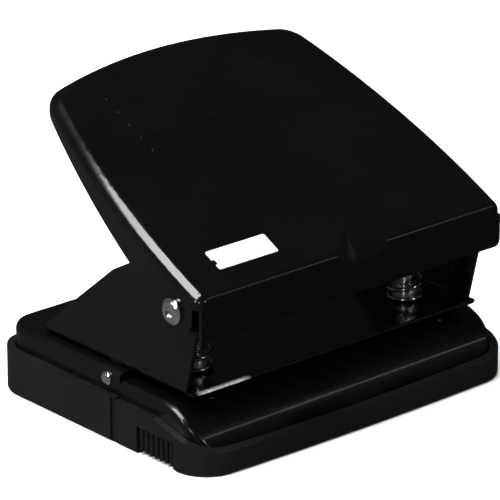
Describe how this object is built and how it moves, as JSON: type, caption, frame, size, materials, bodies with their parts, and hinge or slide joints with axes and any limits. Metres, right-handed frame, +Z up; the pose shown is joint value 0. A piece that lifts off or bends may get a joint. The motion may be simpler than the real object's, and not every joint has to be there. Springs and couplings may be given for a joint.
{
  "type": "hole punch",
  "caption": "Desk punch with a pressed-steel lever on a channel frame, sprung punches over a paper slot, and a plastic chip tray with a sliding paper guide.",
  "frame": {"origin": "on the table, under the middle of the tray", "axes": "+X to the punch's right, left to right across both holes; +Y from the paper side to the back; +Z up"},
  "size_m": [0.1186, 0.0936, 0.0906],
  "materials": {
    "lever_paint": "gloss",
    "frame_paint": "gloss",
    "base_paint": "gloss",
    "tray_plastic": "satin",
    "black_plastic": "satin",
    "zinc_steel": "satin",
    "punch_steel": "satin",
    "spring_steel": "satin",
    "chrome": "polished",
    "label_white": "gloss"
  },
  "bodies": {
    "tray": {"chip_tray": "tray_plastic"},
    "base": {"base_shell": "base_paint", "frame": "frame_paint", "guide_bushes": "zinc_steel", "die_strip": "zinc_steel", "die_rivets": "zinc_steel", "pivot_pins": "chrome", "pivot_spacers": "black_plastic", "side_screws": "chrome", "side_nuts": "zinc_steel", "spring_left": "spring_steel", "spring_right": "spring_steel"},
    "lever": {"lever_shell": "lever_paint", "press_bar": "frame_paint", "label": "label_white"},
    "punch_left": {"punch_left": "punch_steel", "spring_seat_left": "zinc_steel"},
    "punch_right": {"punch_right": "punch_steel", "spring_seat_right": "zinc_steel"},
    "guide": {"guide_bar": "black_plastic", "guide_grip": "black_plastic"}
  },
  "joints": [
    {"name": "tray_release", "type": "slide", "parent": "tray", "child": "base", "axis": [0, 0, 1], "range_m": [0, 0.014]},
    {"name": "lever_pivot", "type": "hinge", "parent": "base", "child": "lever", "pos_m": [0, -0.0315, 0.0462], "axis": [-1, 0, 0], "range_deg": [0, 25.5], "stiffness_Nm_per_rad": 0.75, "springref_deg": -25.78},
    {"name": "punch_left_slide", "type": "slide", "parent": "base", "child": "punch_left", "axis": [0, 0, -1], "range_m": [0, 0.005], "deforming": ["spring_left"]},
    {"name": "punch_right_slide", "type": "slide", "parent": "base", "child": "punch_right", "axis": [0, 0, -1], "range_m": [0, 0.005], "deforming": ["spring_right"]},
    {"name": "guide_slide", "type": "slide", "parent": "tray", "child": "guide", "axis": [-1, 0, 0], "range_m": [0, 0.092]}
  ],
  "couplings": [
    {"joint": "punch_left_slide", "follows": "lever_pivot", "m_per_rad": 0.011},
    {"joint": "punch_right_slide", "follows": "lever_pivot", "m_per_rad": 0.011}
  ]
}
